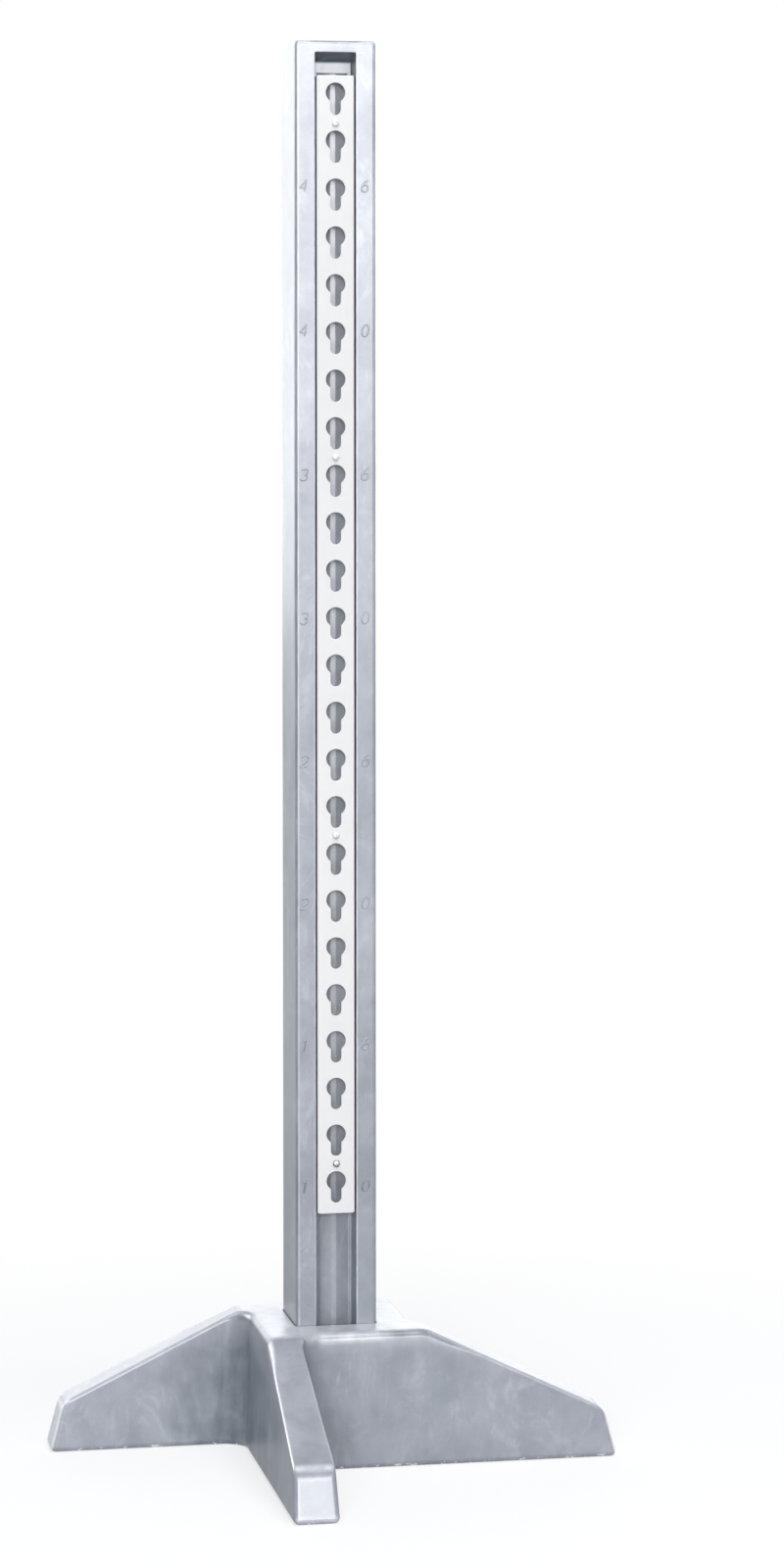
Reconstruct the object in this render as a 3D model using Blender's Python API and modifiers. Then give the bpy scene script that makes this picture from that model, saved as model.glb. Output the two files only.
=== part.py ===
# Schooling standard for horse jumps: a hollow moulded upright with a keyhole track
# down its front, standing in the socket of a hollow base with four pinwheel legs.
# Metres, +Z up. The origin is on the floor under the upright's axis, and the track
# faces -Y.

import math

import bmesh
import bpy
from mathutils import Matrix, Vector

COLLECTION_NAME = "Jump standard"

# Clearances
TOUCH_GAP = 0.0003
SOCKET_FIT = 0.0006
SCREW_FIT = 0.0003

# Base moulding
BASE_REACH = 0.302
HUB_HALF = 0.0896
LEG_WIDTH = 0.0492
OUTER_DRAFT = math.radians(2.0)
INNER_DRAFT = math.radians(2.8)
TOE_DRAFT = math.radians(14.5)
PLATEAU_HEIGHT = 0.147
TOE_HEIGHT = 0.0537
SLOPE_START = 0.092
SLOPE_BLEND = 0.0065
LEG_FILLET = 0.0254
TOE_CORNER = 0.0085
BASE_ROUND = 0.0075
TOE_ROUND = 0.0125
FOOT_ROUND = 0.006
BASE_WALL = 0.006
FLOOR_WALL = 0.006
COLLAR_WIDTH = 0.006
COLLAR_HEIGHT = 0.0012
SOCKET_FLOOR = 0.012
DRAIN_DIAMETER = 0.012
VENT_DIAMETER = 0.008
VENT_FROM_AXIS = 0.24

# Upright moulding
OVERALL_HEIGHT = 1.528
POST_SIZE = 0.0889
POST_ROUND = 0.008
POST_WALL = 0.006
CHANNEL_WIDTH = 0.0437
CHANNEL_DRAFT = math.radians(2.0)
CHANNEL_DEPTH = 0.0236
CHANNEL_BELOW_TOP = 0.0125
CEILING_DRAFT = math.radians(19.5)
SEAT_WIDTH = 0.0042
RIB_CROWN = 0.007
RIB_DEPTH = 0.017

# Keyhole track
TRACK_BOTTOM = 0.269
TRACK_BELOW_TOP = 0.037
TRACK_WIDTH = 0.041
TRACK_WALL = 0.0032
TRACK_ROUND = 0.0026
KEYHOLE_PITCH = 0.0508
KEYHOLE_ABOVE_END = 0.0354
KEYHOLE_ROUND = 0.021
KEYHOLE_SLOT = 0.0114
KEYHOLE_DROP = 0.0181
KEYHOLE_END_WEB = 0.005

# Track screws
SCREW_COUNT = 4
SCREW_SHANK = 0.0042
SCREW_LENGTH = 0.0265
SCREW_POINT = 0.004
SCREW_HEAD = 0.0076
SCREW_HEAD_HEIGHT = 0.0024
SCREW_HEAD_EDGE = 0.0006

# Curve fineness, in segments
FILLET_STEPS = 8
CORNER_STEPS = 4
ROUND_STEPS = 4
KEYHOLE_STEPS = 20
SCREW_STEPS = 20

# How far a cutter runs past what it cuts
OVERRUN = 0.01

post_half = POST_SIZE / 2
socket_half = post_half + SOCKET_FIT
post_bottom = SOCKET_FLOOR + TOUCH_GAP
channel_top = OVERALL_HEIGHT - CHANNEL_BELOW_TOP
track_top = OVERALL_HEIGHT - TRACK_BELOW_TOP
track_front = -post_half
toe_top = BASE_REACH - math.tan(TOE_DRAFT) * TOE_HEIGHT
lowest_keyhole = TRACK_BOTTOM + KEYHOLE_ABOVE_END
keyhole_limit = track_top - KEYHOLE_END_WEB - KEYHOLE_ROUND / 2
keyhole_count = 1 + int((keyhole_limit - lowest_keyhole) / KEYHOLE_PITCH)
web_middle = (KEYHOLE_ROUND / 2 + KEYHOLE_PITCH - KEYHOLE_DROP - KEYHOLE_SLOT / 2) / 2
screw_bays = [round(index * (keyhole_count - 2) / (SCREW_COUNT - 1)) for index in range(SCREW_COUNT)]
leg_slope = (PLATEAU_HEIGHT - TOE_HEIGHT) / (toe_top - SLOPE_START)


def clear_scene():
    for item in list(bpy.data.objects):
        bpy.data.objects.remove(item, do_unlink=True)


def new_collection(name):
    group = bpy.data.collections.new(name)
    bpy.context.scene.collection.children.link(group)
    return group


def make_material(name, colour, roughness, metallic=0.0):
    material = bpy.data.materials.new(name)
    material.use_nodes = True
    shader = material.node_tree.nodes["Principled BSDF"]
    shader.inputs["Base Color"].default_value = (*colour, 1.0)
    shader.inputs["Roughness"].default_value = roughness
    shader.inputs["Metallic"].default_value = metallic
    material.diffuse_color = (*colour, 1.0)
    return material


def add_object(name, mesh, group, material=None):
    item = bpy.data.objects.new(name, mesh)
    group.objects.link(item)
    if material:
        mesh.materials.append(material)
    return item


def mesh_from(bm, name):
    bmesh.ops.recalc_face_normals(bm, faces=bm.faces)
    mesh = bpy.data.meshes.new(name)
    bm.to_mesh(mesh)
    bm.free()
    return mesh


def cutter_from(bm, name):
    item = add_object(name, mesh_from(bm, name), cutters)
    item.hide_render = True
    item.display_type = "WIRE"
    return item


def boolean(target, other, operation="DIFFERENCE"):
    step = target.modifiers.new(f"{operation.title()} {other.name}", "BOOLEAN")
    step.operation = operation
    step.object = other
    return step


def smooth(mesh, angle=math.radians(35)):
    mesh.shade_smooth()
    mesh.set_sharp_from_angle(angle=angle)


def arc(centre_x, centre_y, radius, start, end, steps):
    """Points on an arc, from one angle to another in degrees, ends included."""
    points = []
    for index in range(steps + 1):
        angle = math.radians(start + (end - start) * index / steps)
        points.append((centre_x + radius * math.cos(angle), centre_y + radius * math.sin(angle)))
    return points


def rounded_square(half, radius):
    inner = half - radius
    points = []
    for quarter, (x, y) in enumerate(((1, 1), (-1, 1), (-1, -1), (1, -1))):
        points += arc(x * inner, y * inner, radius, 90 * quarter, 90 * quarter + 90, CORNER_STEPS)
    return points


def prism(outline, bottom, top):
    """A plan outline carried straight up from one height to another."""
    bm = bmesh.new()
    face = bm.faces.new([bm.verts.new((x, y, bottom)) for x, y in outline])
    raised = bmesh.ops.extrude_face_region(bm, geom=[face])
    moved = [part for part in raised["geom"] if isinstance(part, bmesh.types.BMVert)]
    bmesh.ops.translate(bm, verts=moved, vec=(0, 0, top - bottom))
    return bm


def front_prism(outline, back, front):
    """An outline of (x, z) points carried along Y, for cuts into the front."""
    bm = bmesh.new()
    face = bm.faces.new([bm.verts.new((x, back, z)) for x, z in outline])
    moved = bmesh.ops.extrude_face_region(bm, geom=[face])
    verts = [part for part in moved["geom"] if isinstance(part, bmesh.types.BMVert)]
    bmesh.ops.translate(bm, verts=verts, vec=(0, front - back, 0))
    return bm


def loft(rings):
    """A closed solid through level plan outlines, given as (outline, height)."""
    bm = bmesh.new()
    loops = [[bm.verts.new((x, y, height)) for x, y in outline] for outline, height in rings]
    for lower, upper in zip(loops, loops[1:]):
        for index in range(len(lower)):
            following = (index + 1) % len(lower)
            bm.faces.new((lower[index], lower[following], upper[following], upper[index]))
    bm.faces.new(loops[0])
    bm.faces.new(loops[-1])
    return bm


def base_outline(inset, toe_inset, hub_height, toe_height):
    """The pinwheel in plan: four legs, each flush with one side of the hub.

    The two heights say how far the draft has closed the outline in by then, and
    the ends of the legs have an inset of their own.
    """
    outer = HUB_HALF - math.tan(OUTER_DRAFT) * hub_height - inset
    inner = HUB_HALF - LEG_WIDTH + math.tan(INNER_DRAFT) * hub_height + inset
    toe_outer = HUB_HALF - math.tan(OUTER_DRAFT) * toe_height - inset
    toe_inner = HUB_HALF - LEG_WIDTH + math.tan(INNER_DRAFT) * toe_height + inset
    toe = BASE_REACH - math.tan(TOE_DRAFT) * toe_height - toe_inset
    fillet = LEG_FILLET + inset
    corner = max(TOE_CORNER - inset, TOUCH_GAP)
    leg = arc(-inner + fillet, -outer - fillet, fillet, 180, 90, FILLET_STEPS)
    leg += arc(toe - corner, -toe_outer + corner, corner, -90, 0, CORNER_STEPS)
    leg += arc(toe - corner, -toe_inner - corner, corner, 0, 90, CORNER_STEPS)
    points = []
    for quarter in range(4):
        cos, sin = ((1, 0), (0, 1), (-1, 0), (0, -1))[quarter]
        points += [(x * cos - y * sin, x * sin + y * cos) for x, y in leg]
    return points


def leg_drop(x, y):
    """How far the top has come down from the plateau, with a soft bend at its edge."""
    past = max(abs(x), abs(y)) - SLOPE_START
    if past <= -SLOPE_BLEND:
        return 0.0
    if past >= SLOPE_BLEND:
        return leg_slope * past
    return leg_slope * (past + SLOPE_BLEND) ** 2 / (4 * SLOPE_BLEND)


def cut_bends(bm, crown_start):
    """Edges across the crown of each leg, where it bends down from the plateau."""
    for share in (-1.0, -1 / 3, 1 / 3, 1.0):
        distance = SLOPE_START + share * SLOPE_BLEND
        for way in (Vector((1, 0, 0)), Vector((0, 1, 0)), Vector((-1, 0, 0)), Vector((0, -1, 0))):
            faces = [
                face for face in bm.faces
                if min(vert.co.z for vert in face.verts) > crown_start
                and max(vert.co.dot(way) for vert in face.verts) > HUB_HALF
            ]
            edges = {edge for face in faces for edge in face.edges}
            verts = {vert for face in faces for vert in face.verts}
            bmesh.ops.bisect_plane(
                bm, geom=[*verts, *edges, *faces], dist=TOUCH_GAP / 10, plane_co=way * distance,
                plane_no=way)


def base_body(levels, crown):
    """The base's form from its lower levels and the levels of its rounded crown.

    Lower levels are (inset, height). Crown levels are (inset, inset at the leg's
    end, depth below the top), and follow the plateau and the legs' slopes.
    """
    rings = [(base_outline(inset, inset, height, height), height) for inset, height in levels]
    for inset, toe_inset, depth in crown:
        outline = base_outline(inset, toe_inset, PLATEAU_HEIGHT - depth, TOE_HEIGHT - depth)
        rings.append((outline, PLATEAU_HEIGHT - depth))
    bm = loft(rings)
    crown_start = (levels[-1][1] + PLATEAU_HEIGHT - crown[0][2]) / 2
    cut_bends(bm, crown_start)
    for vert in bm.verts:
        if vert.co.z > crown_start:
            vert.co.z -= leg_drop(vert.co.x, vert.co.y)
    bmesh.ops.triangulate(bm, faces=[face for face in bm.faces if len(face.verts) > 4])
    return bm


def build_base(material):
    lower, crown = [], []
    for index in range(ROUND_STEPS + 1):
        angle = math.pi / 2 * index / ROUND_STEPS
        turned_in, fallen = 1 - math.cos(angle), 1 - math.sin(angle)
        lower.append((FOOT_ROUND * fallen, FOOT_ROUND * turned_in))
        crown.append((BASE_ROUND * turned_in, TOE_ROUND * turned_in, BASE_ROUND * fallen))
    base = add_object("base", mesh_from(base_body(lower, crown), "base"), parts, material)

    inner_crown = [(BASE_WALL, BASE_WALL + TOE_ROUND - BASE_ROUND, BASE_WALL)]
    hollow = cutter_from(base_body([(BASE_WALL, FLOOR_WALL)], inner_crown), "base_hollow")
    well_half = socket_half + BASE_WALL
    well = rounded_square(well_half, POST_ROUND + BASE_WALL)
    boolean(hollow, cutter_from(prism(well, -OVERRUN, PLATEAU_HEIGHT + OVERRUN), "socket_wall"))

    foot = rounded_square(socket_half + COLLAR_WIDTH, POST_ROUND + COLLAR_WIDTH)
    rim_half = socket_half + COLLAR_WIDTH - COLLAR_HEIGHT / 2
    rim = rounded_square(rim_half, POST_ROUND + COLLAR_WIDTH / 2)
    collar_top = PLATEAU_HEIGHT + COLLAR_HEIGHT
    collar_form = loft([
        (foot, PLATEAU_HEIGHT - BASE_WALL / 2),
        (foot, PLATEAU_HEIGHT + COLLAR_HEIGHT / 2),
        (rim, collar_top),
    ])
    boolean(base, hollow)
    boolean(base, cutter_from(collar_form, "socket_collar"), "UNION")

    socket = rounded_square(socket_half, POST_ROUND)
    boolean(base, cutter_from(prism(socket, SOCKET_FLOOR, collar_top + OVERRUN), "socket"))

    holes = bmesh.new()
    leg_middle = HUB_HALF - LEG_WIDTH / 2
    for x, y, diameter in ((0, 0, DRAIN_DIAMETER), (VENT_FROM_AXIS, -leg_middle, VENT_DIAMETER)):
        made = bmesh.ops.create_cone(
            holes, cap_ends=True, segments=SCREW_STEPS, radius1=diameter / 2, radius2=diameter / 2,
            depth=2 * (SOCKET_FLOOR + OVERRUN))
        bmesh.ops.translate(holes, verts=made["verts"], vec=(x, y, 0))
    boolean(base, cutter_from(holes, "drain_and_vent"))
    smooth(base.data)
    return base


def channel_outline(wall, ribbed):
    """The front channel in plan, grown by a wall for the hollow that goes round it."""
    front = -post_half - OVERRUN
    floor = -post_half + CHANNEL_DEPTH + wall
    crown = -post_half + RIB_DEPTH + wall
    mouth_half = CHANNEL_WIDTH / 2 + wall + math.tan(CHANNEL_DRAFT) * OVERRUN
    floor_half = CHANNEL_WIDTH / 2 + wall - math.tan(CHANNEL_DRAFT) * (CHANNEL_DEPTH + wall)
    right = [(mouth_half, front), (floor_half, floor)]
    if ribbed:
        seat = CHANNEL_WIDTH / 2 - math.tan(CHANNEL_DRAFT) * CHANNEL_DEPTH - SEAT_WIDTH
        right += [(seat, floor), (RIB_CROWN / 2, crown)]
    return right + [(-x, y) for x, y in reversed(right)]


def channel_cutter(wall, name):
    """The channel: ribbed behind the track, flat-floored above it, with a raked ceiling."""
    ribbed_form = prism(channel_outline(wall, True), post_bottom - OVERRUN, track_top + SEAT_WIDTH)
    ribbed = cutter_from(ribbed_form, f"{name}_ribbed")
    head = prism(channel_outline(wall, False), track_top, channel_top + wall)
    for vert in head.verts:
        if vert.co.z > track_top:
            vert.co.z -= math.tan(CEILING_DRAFT) * (vert.co.y + post_half)
    boolean(ribbed, cutter_from(head, f"{name}_head"), "UNION")
    return ribbed


def build_post(material):
    bpy.ops.mesh.primitive_cube_add(size=1)
    post = bpy.context.object
    post.name = "post"
    height = OVERALL_HEIGHT - post_bottom
    for vert in post.data.vertices:
        vert.co.x *= POST_SIZE
        vert.co.y *= POST_SIZE
        vert.co.z = post_bottom if vert.co.z < 0 else post_bottom + height
    for group in post.users_collection:
        group.objects.unlink(post)
    parts.objects.link(post)
    post.data.materials.append(material)
    weights = post.data.attributes.new("bevel_weight_edge", "FLOAT", "EDGE")
    for edge in post.data.edges:
        heights = [post.data.vertices[index].co.z for index in edge.vertices]
        weights.data[edge.index].value = 1.0 if max(heights) > post_bottom else 0.0
    rounding = post.modifiers.new("Rounded edges", "BEVEL")
    rounding.width = POST_ROUND
    rounding.segments = ROUND_STEPS
    rounding.limit_method = "WEIGHT"

    boolean(post, channel_cutter(0.0, "channel"))
    hollow_plan = rounded_square(post_half - POST_WALL, max(POST_ROUND - POST_WALL, TOUCH_GAP))
    hollow_top = OVERALL_HEIGHT - POST_WALL
    hollow = cutter_from(prism(hollow_plan, post_bottom - OVERRUN, hollow_top), "post_hollow")
    boolean(hollow, channel_cutter(POST_WALL, "channel_wall"))
    boolean(post, hollow)
    boolean(post, screw_holes(SCREW_SHANK / 2 + SCREW_FIT, "pilot_holes", 2 * CHANNEL_DEPTH))
    return post


def keyhole_outline():
    """A round hole with a slot hanging from it, centred on the round hole."""
    radius = KEYHOLE_ROUND / 2
    slot = KEYHOLE_SLOT / 2
    shoulder = math.degrees(math.asin(slot / radius))
    points = arc(0, 0, radius, -90 + shoulder, 270 - shoulder, KEYHOLE_STEPS)
    points += arc(0, -KEYHOLE_DROP, slot, 180, 360, KEYHOLE_STEPS // 2)
    return points


def screw_height(bay):
    """A screw sits in the web between the keyholes of one bay, counted from below."""
    return lowest_keyhole + bay * KEYHOLE_PITCH + web_middle


def screw_holes(radius, name, depth):
    holes = bmesh.new()
    for bay in screw_bays:
        made = bmesh.ops.create_cone(
            holes, cap_ends=True, segments=SCREW_STEPS, radius1=radius, radius2=radius,
            depth=depth + OVERRUN)
        bmesh.ops.rotate(holes, verts=made["verts"], matrix=Matrix.Rotation(math.pi / 2, 3, "X"))
        middle = track_front + (depth - OVERRUN) / 2
        bmesh.ops.translate(holes, verts=made["verts"], vec=(0, middle, screw_height(bay)))
    return cutter_from(holes, name)


def build_track(material):
    half = TRACK_WIDTH / 2
    back = -post_half + CHANNEL_DEPTH - TOUCH_GAP
    web = track_front + TRACK_WALL
    inner_round = TRACK_ROUND / 2
    outline = [(half, back)]
    outline += arc(half - TRACK_ROUND, track_front + TRACK_ROUND, TRACK_ROUND, 0, -90, CORNER_STEPS)
    outline += arc(-half + TRACK_ROUND, track_front + TRACK_ROUND, TRACK_ROUND, -90, -180, CORNER_STEPS)
    outline += [(-half, back), (-half + TRACK_WALL, back)]
    inner_x = half - TRACK_WALL - inner_round
    outline += arc(-inner_x, web + inner_round, inner_round, 180, 270, CORNER_STEPS)
    outline += arc(inner_x, web + inner_round, inner_round, 270, 360, CORNER_STEPS)
    outline += [(half - TRACK_WALL, back)]
    strip = mesh_from(prism(outline, TRACK_BOTTOM, track_top), "track")
    track = add_object("track", strip, parts, material)

    front = track_front - OVERRUN
    keyhole = cutter_from(front_prism(keyhole_outline(), web + OVERRUN / 2, front), "keyholes")
    keyhole.location = (0, 0, lowest_keyhole)
    row = keyhole.modifiers.new("Row", "ARRAY")
    row.count = keyhole_count
    row.use_relative_offset = False
    row.use_constant_offset = True
    row.constant_offset_displace = (0, 0, KEYHOLE_PITCH)
    boolean(track, keyhole)
    clearance = SCREW_SHANK / 2 + 2 * SCREW_FIT
    boolean(track, screw_holes(clearance, "track_screw_holes", TRACK_WALL + OVERRUN))
    return track


def build_screws(material):
    """Pan-head screws through the track's web into the rib, their axes along Y."""
    head = SCREW_HEAD / 2
    shank = SCREW_SHANK / 2
    profile = [(0.0, SCREW_HEAD_HEIGHT)]
    for index in range(1, CORNER_STEPS + 1):
        angle = math.pi / 2 * index / CORNER_STEPS
        height = SCREW_HEAD_EDGE + (SCREW_HEAD_HEIGHT - SCREW_HEAD_EDGE) * math.cos(angle)
        profile.append((head * math.sin(angle), height))
    profile += [(head, 0.0), (shank, 0.0), (shank, SCREW_POINT - SCREW_LENGTH), (0.0, -SCREW_LENGTH)]
    bm = bmesh.new()
    verts = [bm.verts.new((x, 0, z)) for x, z in profile]
    for first, second in zip(verts, verts[1:]):
        bm.edges.new((first, second))
    mesh = bpy.data.meshes.new("track_screw")
    bm.to_mesh(mesh)
    bm.free()
    mesh.materials.append(material)
    screws = []
    for number, bay in enumerate(screw_bays, start=1):
        screw = add_object(f"track_screw_{number}", mesh, parts)
        turned = screw.modifiers.new("Turned", "SCREW")
        turned.axis = "Z"
        turned.steps = SCREW_STEPS
        turned.render_steps = SCREW_STEPS
        turned.use_merge_vertices = True
        turned.merge_threshold = 0.00001
        screw.rotation_euler = (math.radians(90), 0, 0)
        screw.location = (0, track_front - TOUCH_GAP, screw_height(bay))
        screws.append(screw)
    return screws


clear_scene()
parts = new_collection(COLLECTION_NAME)
cutters = new_collection("Cutters")

grey_plastic = make_material("Grey polyethylene", (0.36, 0.38, 0.43), 0.45)
white_plastic = make_material("White track plastic", (0.85, 0.86, 0.86), 0.35)
screw_metal = make_material("Zinc plated steel", (0.72, 0.72, 0.70), 0.3, 1.0)

upright = bpy.data.objects.new("upright_slide", None)
upright.location = (0, 0, post_bottom)
parts.objects.link(upright)

build_base(grey_plastic)
moving = [build_post(grey_plastic), build_track(white_plastic)] + build_screws(screw_metal)
bpy.context.view_layer.update()
for piece in moving:
    piece.parent = upright
    piece.matrix_parent_inverse = upright.matrix_world.inverted()
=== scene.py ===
from math import asin, cos, hypot, pi, radians, sin, sqrt, tan, tau

import bmesh
import bpy
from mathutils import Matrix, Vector, noise


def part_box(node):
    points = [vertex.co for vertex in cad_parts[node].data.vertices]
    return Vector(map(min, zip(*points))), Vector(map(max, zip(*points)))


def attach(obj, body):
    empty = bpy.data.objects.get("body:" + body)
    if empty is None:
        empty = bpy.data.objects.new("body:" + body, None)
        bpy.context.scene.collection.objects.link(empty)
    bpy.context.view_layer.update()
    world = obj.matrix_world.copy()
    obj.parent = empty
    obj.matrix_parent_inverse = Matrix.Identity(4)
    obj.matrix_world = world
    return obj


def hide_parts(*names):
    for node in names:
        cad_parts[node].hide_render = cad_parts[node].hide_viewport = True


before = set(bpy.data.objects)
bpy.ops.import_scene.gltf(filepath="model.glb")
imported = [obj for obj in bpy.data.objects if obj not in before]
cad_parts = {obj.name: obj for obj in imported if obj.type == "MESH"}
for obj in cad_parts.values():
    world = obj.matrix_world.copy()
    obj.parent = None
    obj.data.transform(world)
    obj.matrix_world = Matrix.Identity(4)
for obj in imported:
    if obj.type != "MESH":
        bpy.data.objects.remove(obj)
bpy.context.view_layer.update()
baseLow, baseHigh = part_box("base")
postLow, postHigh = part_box("post")
trackLow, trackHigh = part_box("track")
postHalf = postHigh.x
print("frame loaded, nodes:", ", ".join(sorted(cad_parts)))


# Small tools shared by all the pieces

def newObject(name, data, material=None):
    item = bpy.data.objects.new(name, data)
    bpy.context.scene.collection.objects.link(item)
    if material:
        data.materials.append(material)
    return item


def weld(bm, gap=0.00001):
    bmesh.ops.remove_doubles(bm, verts=bm.verts, dist=gap)
    bmesh.ops.dissolve_degenerate(bm, edges=bm.edges, dist=gap / 2)
    bmesh.ops.recalc_face_normals(bm, faces=bm.faces)


def objectFrom(bm, name, material=None):
    weld(bm)
    mesh = bpy.data.meshes.new(name)
    bm.to_mesh(mesh)
    bm.free()
    return newObject(name, mesh, material)


def shadeSoft(item, angle=38):
    # Flat faces keep their own normals next to small rounds
    item.data.shade_smooth()
    item.data.set_sharp_from_angle(angle=radians(angle))
    weighted = item.modifiers.new("Weighted normals", "WEIGHTED_NORMAL")
    weighted.mode = "FACE_AREA_WITH_ANGLE"
    weighted.weight = 60
    weighted.keep_sharp = True
    return makePlain(item)


def addWear(item, **rules):
    # Dirt, wear, painted shade and painted light that a finish can read, from 0 to 1 at each point
    for name, rule in rules.items():
        layer = item.data.attributes.new(name, "FLOAT", "POINT")
        layer.data.foreach_set("value", [rule(vert.co) for vert in item.data.vertices])
    return item


def evaluatedMesh(item, name):
    graph = bpy.context.evaluated_depsgraph_get()
    graph.update()
    mesh = bpy.data.meshes.new_from_object(
        item.evaluated_get(graph), preserve_all_data_layers=True, depsgraph=graph)
    mesh.name = name
    return mesh


def makePlain(item):
    # The evaluated shape becomes the object's own mesh, and the modifiers go
    mesh = evaluatedMesh(item, item.name)
    item.modifiers.clear()
    item.data = mesh
    return item


def changeMesh(mesh, change):
    bm = bmesh.new()
    bm.from_mesh(mesh)
    change(bm)
    bm.to_mesh(mesh)
    bm.free()


def quarterRound(radius, steps):
    # How far in from either side each point of a rounded edge lies
    turns = [pi / 2 * step / steps for step in range(steps + 1)]
    return [(radius * (1 - sin(turn)), radius * (1 - cos(turn))) for turn in turns]


def roundPath(corners, steps):
    # Corners are (x, y, radius). A radius of None is a plain point on a side.
    places = [Vector((x, y)) for x, y, radius in corners]
    points = []
    for index, here in enumerate(places):
        radius = corners[index][2]
        if radius is None:
            points.append(here)
            continue
        back = places[index - 1] - here
        ahead = places[(index + 1) % len(places)] - here
        half = back.angle(ahead, pi) / 2
        cut = min(radius / tan(half), 0.49 * min(back.length, ahead.length)) if half < 1.56 else 0
        first, last = here + back.normalized() * cut, here + ahead.normalized() * cut
        for step in range(steps + 1):
            t = step / steps
            a, b, c = (1 - t) ** 2, 2 * t * (1 - t) * sin(half), t * t
            points.append((first * a + here * b + last * c) / (a + b + c))
    return points


def addRing(bm, outline, height):
    return [bm.verts.new((x, y, height)) for x, y in outline]


def joinRings(bm, *rings):
    for lower, upper in zip(rings, rings[1:]):
        for index in range(len(lower)):
            following = (index + 1) % len(lower)
            bm.faces.new((lower[index], lower[following], upper[following], upper[index]))


def fillBetween(bm, rings, normal):
    # Fills an outline and leaves the holes in it open
    edges = [bm.edges.get(pair) or bm.edges.new(pair)
             for ring in rings for pair in zip([ring[-1], *ring], ring)]
    made = bmesh.ops.triangle_fill(bm, use_beauty=True, use_dissolve=False, edges=edges, normal=normal)
    return onlyFaces(made["geom"])


def onlyFaces(parts):
    return [part for part in parts if isinstance(part, bmesh.types.BMFace)]


def softRamp(distance, blend):
    # Nothing before zero, one for one after it, with a round bend between
    if distance <= -blend:
        return 0.0
    if distance >= blend:
        return distance
    return (distance + blend) ** 2 / (4 * blend)


def smoothStep(value):
    value = min(max(value, 0.0), 1.0)
    return value * value * (3 - 2 * value)


def between(value, start, rise, end, fall):
    # Comes up to one past the start and goes back to nothing past the end
    return smoothStep((value - start) / rise) * (1 - smoothStep((value - end) / fall))


def sinkFaces(bm, depth, waves, skip=lambda place: False):
    # Moulded walls pull in a little as they cool, never out
    bm.normal_update()
    moves = []
    for vert in bm.verts:
        if not skip(vert.co):
            pull = 0.5 + 0.5 * noise.noise(vert.co * waves + Vector((3.1, 7.7, 1.3)))
            moves.append((vert, vert.normal * (-depth * pull)))
    for vert, move in moves:
        vert.co += move


# Node tools

def setInputs(tree, node, inputs):
    for key, value in inputs.items():
        if isinstance(value, bpy.types.NodeSocket):
            tree.links.new(value, node.inputs[key])
        else:
            node.inputs[key].default_value = value


def addNode(tree, kind, inputs=None, **settings):
    node = tree.nodes.new(kind)
    for key, value in settings.items():
        setattr(node, key, value)
    setInputs(tree, node, inputs or {})
    return node


def outOf(tree, kind, inputs=None, **settings):
    return addNode(tree, kind, inputs, **settings).outputs[0]


def newShader(name):
    material = bpy.data.materials.new(name)
    material.use_nodes = True
    return material, material.node_tree, material.node_tree.nodes["Principled BSDF"]


def mathOf(tree, operation, *values, **settings):
    return outOf(tree, "ShaderNodeMath", dict(enumerate(values)), operation=operation, **settings)


def vectorOf(tree, **parts):
    return outOf(tree, "ShaderNodeCombineXYZ", parts)


def wearAt(tree, name):
    return addNode(tree, "ShaderNodeAttribute", attribute_name=name).outputs["Fac"]


def bumpOf(tree, height, distance, strength, **more):
    return outOf(tree, "ShaderNodeBump", {"Height": height, "Distance": distance, "Strength": strength, **more})


def noiseAt(tree, place, scale, detail=4.0, roughness=0.55, distortion=0.0):
    return outOf(tree, "ShaderNodeTexNoise", {
        "Vector": place, "Scale": scale, "Detail": detail, "Roughness": roughness, "Distortion": distortion})


def blendOf(tree, parts):
    # A weighted sum of values around 0.5, which stays around 0.5
    total = None
    for value, weight in parts:
        share = mathOf(tree, "MULTIPLY", value, weight)
        total = share if total is None else mathOf(tree, "ADD", total, share)
    return total


def remap(tree, value, low, high, start=0.3, end=0.7):
    return outOf(tree, "ShaderNodeMapRange", {
        "Value": value, "From Min": start, "From Max": end, "To Min": low, "To Max": high})


def asColour(value):
    return value if isinstance(value, bpy.types.NodeSocket) else (*value, 1.0)


def mixColour(tree, factor, first, second):
    inputs = {0: factor, 6: asColour(first), 7: asColour(second)}
    return addNode(tree, "ShaderNodeMix", inputs, data_type="RGBA").outputs[2]


def objectPlace(tree, turn=None, stretch=(1, 1, 1)):
    place = addNode(tree, "ShaderNodeTexCoord").outputs["Object"]
    if turn is None:
        return place
    return outOf(tree, "ShaderNodeMapping", {"Vector": place, "Rotation": turn, "Scale": stretch})


# Finishes

greyLook = {
    "dark": (0.218, 0.234, 0.273),
    "light": (0.345, 0.364, 0.41),
    "scuff": (0.51, 0.53, 0.575),
    # The dark tone below serves both dirt and painted shade
    "shadedAndGrimy": (0.10, 0.125, 0.148),
    # The pale tone below serves wear, painted highlight and painted light
    "worn": (0.72, 0.735, 0.77),
    # The near white below serves torn flecks and painted glints
    "torn": (0.9, 0.905, 0.92),
    "smearSize": 0.042,
    "fleckSize": 0.008,
    "gloss": 0.85,
    "roughness": (0.29, 0.38),
    "cloudSize": 0.11,
    "mottleSize": 0.022,
    "blotchSize": 0.03,
    "speckleSize": 0.0016,
    "streakTurn": (0.0, radians(-38), 0.0),
    "smearTurn": (radians(14), radians(52), radians(15)),
    "grainSize": 0.0026,
    "grainHeight": 0.00005,
    "waveSize": 0.07,
    "waveHeight": 0.0006,
}


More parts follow.
